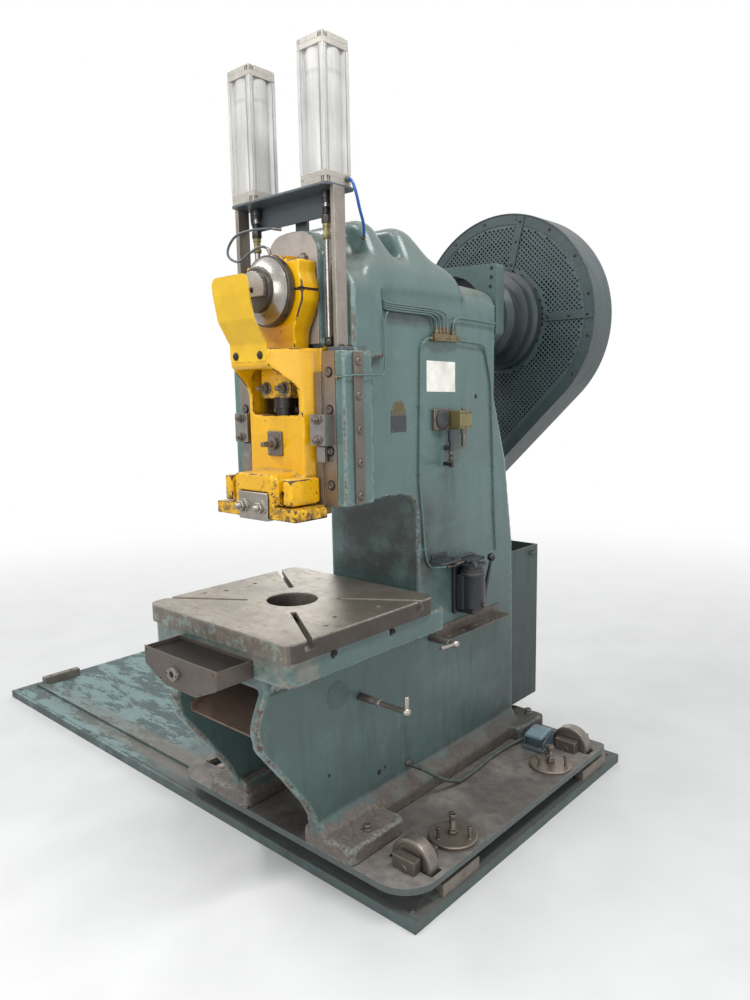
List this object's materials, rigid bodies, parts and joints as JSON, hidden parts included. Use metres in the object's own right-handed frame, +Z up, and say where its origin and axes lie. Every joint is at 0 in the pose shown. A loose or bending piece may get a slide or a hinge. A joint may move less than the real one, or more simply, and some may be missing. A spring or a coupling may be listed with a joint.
{
  "type": "mechanical stamping press",
  "caption": "Open-front eccentric stamping press on a roller carriage over a long floor plate, with belt-driven flywheel, air counterbalance and slotted bolster.",
  "frame": {"origin": "on the floor, directly under the axis of the ram", "axes": "+X to the machine's right seen from its front, -Y towards the operator, +Z up"},
  "size_m": [2.688, 1.845, 2.549],
  "materials": {
    "teal_paint": "semi-gloss, worn",
    "guard_paint": "satin",
    "yellow_paint": "gloss",
    "bare_steel": "machined, lightly stained",
    "dark_steel": "oiled",
    "worn_steel": "worn",
    "brass": "dull",
    "aluminium": "anodised",
    "rubber": "matt",
    "pipe_paint": "painted over",
    "switch_blue": "worn"
  },
  "bodies": {
    "base": {"floor_plate": "teal_paint"},
    "carriage": {"carriage_plate": "teal_paint", "axle_blocks": "bare_steel", "levelling_discs": "bare_steel", "levelling_screws": "bare_steel", "frame": "teal_paint", "foot_bolts": "dark_steel", "bolster": "bare_steel", "scrap_chute": "worn_steel", "front_box": "worn_steel", "gib_bars": "bare_steel", "side_strips": "bare_steel", "guide_screws": "dark_steel", "stop_blocks": "bare_steel", "front_cover": "bare_steel", "main_bushes": "brass", "cylinder_frame": "guard_paint", "cylinder_tubes": "aluminium", "cylinder_caps": "aluminium", "air_hose": "rubber", "flywheel_guard": "guard_paint", "guard_mesh": "guard_paint", "bearing_hub": "guard_paint", "rear_bracket": "teal_paint", "drive_motor": "guard_paint", "drive_belts": "rubber", "oil_distributor": "brass", "oil_pipes": "pipe_paint", "air_unit": "brass", "oil_pump": "dark_steel", "tool_shelf": "guard_paint", "rear_cabinet": "teal_paint", "cable_gland": "dark_steel", "pedal_cable": "rubber", "foot_switch": "switch_blue"},
    "roller_front_right": {"roller_front_right": "bare_steel"},
    "roller_front_left": {"roller_front_left": "bare_steel"},
    "roller_rear_right": {"roller_rear_right": "bare_steel"},
    "roller_rear_left": {"roller_rear_left": "bare_steel"},
    "crank": {"crankshaft": "bare_steel", "eccentric_sleeve": "bare_steel", "lock_ring": "bare_steel"},
    "connecting_rod": {"conrod": "yellow_paint", "conrod_cap": "yellow_paint", "conrod_studs": "dark_steel", "adjusting_screw": "dark_steel", "lube_hose": "rubber"},
    "ram": {"ram": "yellow_paint", "tool_clamp": "bare_steel", "eccentric_cover": "yellow_paint", "spindle_flange": "dark_steel", "balance_rods": "bare_steel"},
    "spindle": {"adjusting_spindle": "dark_steel"},
    "flywheel": {"flywheel": "dark_steel"},
    "motor_pulley": {"motor_pulley": "dark_steel"},
    "valve_handle": {"valve_handle": "dark_steel"},
    "pump_lever": {"pump_lever": "dark_steel"},
    "front_crank": {"crank_handle_front": "bare_steel"},
    "rear_crank": {"crank_handle_rear": "bare_steel"},
    "pedal": {"foot_pedal": "switch_blue"}
  },
  "joints": [
    {"name": "carriage_slide", "type": "slide", "parent": "base", "child": "carriage", "axis": [1, 0, 0], "range_m": [-1.5, 0]},
    {"name": "roller_front_right_roll", "type": "hinge", "parent": "carriage", "child": "roller_front_right", "pos_m": [0.484, 0.034, 0.124], "axis": [0, 1, 0], "range_deg": [-1140, 10]},
    {"name": "roller_rear_right_roll", "type": "hinge", "parent": "carriage", "child": "roller_rear_right", "pos_m": [0.484, 1.034, 0.124], "axis": [0, 1, 0], "range_deg": [-1140, 10]},
    {"name": "roller_front_left_roll", "type": "hinge", "parent": "carriage", "child": "roller_front_left", "pos_m": [-0.484, 0.034, 0.081], "axis": [0, 1, 0], "range_deg": [-2610, 10]},
    {"name": "roller_rear_left_roll", "type": "hinge", "parent": "carriage", "child": "roller_rear_left", "pos_m": [-0.484, 1.034, 0.081], "axis": [0, 1, 0], "range_deg": [-2610, 10]},
    {"name": "crank_turn", "type": "hinge", "parent": "carriage", "child": "crank", "pos_m": [0, 0.3, 1.83], "axis": [0, 1, 0], "continuous": true},
    {"name": "rod_swing", "type": "hinge", "parent": "crank", "child": "connecting_rod", "pos_m": [0, 0, 1.85], "axis": [0, 1, 0], "continuous": true},
    {"name": "ram_slide", "type": "slide", "parent": "carriage", "child": "ram", "axis": [0, 0, 1], "range_m": [-0.04, 0], "stiffness_N_per_m": 2000, "springref_m": 0.6},
    {"name": "spindle_turn", "type": "hinge", "parent": "ram", "child": "spindle", "pos_m": [0, -0.06, 1.385], "axis": [0, 1, 0], "continuous": true},
    {"name": "flywheel_turn", "type": "hinge", "parent": "carriage", "child": "flywheel", "pos_m": [0, 1.31, 1.83], "axis": [0, 1, 0], "continuous": true},
    {"name": "pulley_turn", "type": "hinge", "parent": "carriage", "child": "motor_pulley", "pos_m": [-0.32, 1.31, 1.118], "axis": [0, 1, 0], "continuous": true},
    {"name": "valve_turn", "type": "hinge", "parent": "carriage", "child": "valve_handle", "pos_m": [0.243, 0.52, 1.286], "axis": [0, 1, 0], "range_deg": [0, 90]},
    {"name": "pump_stroke", "type": "hinge", "parent": "carriage", "child": "pump_lever", "pos_m": [0.277, 0.706, 0.76], "axis": [1, 0, 0], "range_deg": [-40, 6]},
    {"name": "front_crank_turn", "type": "hinge", "parent": "carriage", "child": "front_crank", "pos_m": [0.215, 0.089, 0.56], "axis": [1, 0, 0], "continuous": true},
    {"name": "rear_crank_turn", "type": "hinge", "parent": "carriage", "child": "rear_crank", "pos_m": [0.215, 0.46, 0.662], "axis": [1, 0, 0], "continuous": true},
    {"name": "pedal_press", "type": "hinge", "parent": "carriage", "child": "pedal", "pos_m": [0.387, 0.972, 0.172], "axis": [1, 0, 0], "range_deg": [0, 5], "stiffness_Nm_per_rad": 3, "springref_deg": -22.92}
  ],
  "couplings": [
    {"joint": "roller_front_right_roll", "follows": "carriage_slide", "rad_per_m": 13.158},
    {"joint": "roller_rear_right_roll", "follows": "carriage_slide", "rad_per_m": 13.158},
    {"joint": "roller_front_left_roll", "follows": "carriage_slide", "rad_per_m": 30.303},
    {"joint": "roller_rear_left_roll", "follows": "carriage_slide", "rad_per_m": 30.303},
    {"joint": "rod_swing", "follows": "crank_turn", "ratio": -1},
    {"joint": "pulley_turn", "follows": "flywheel_turn", "ratio": 4.8125}
  ]
}
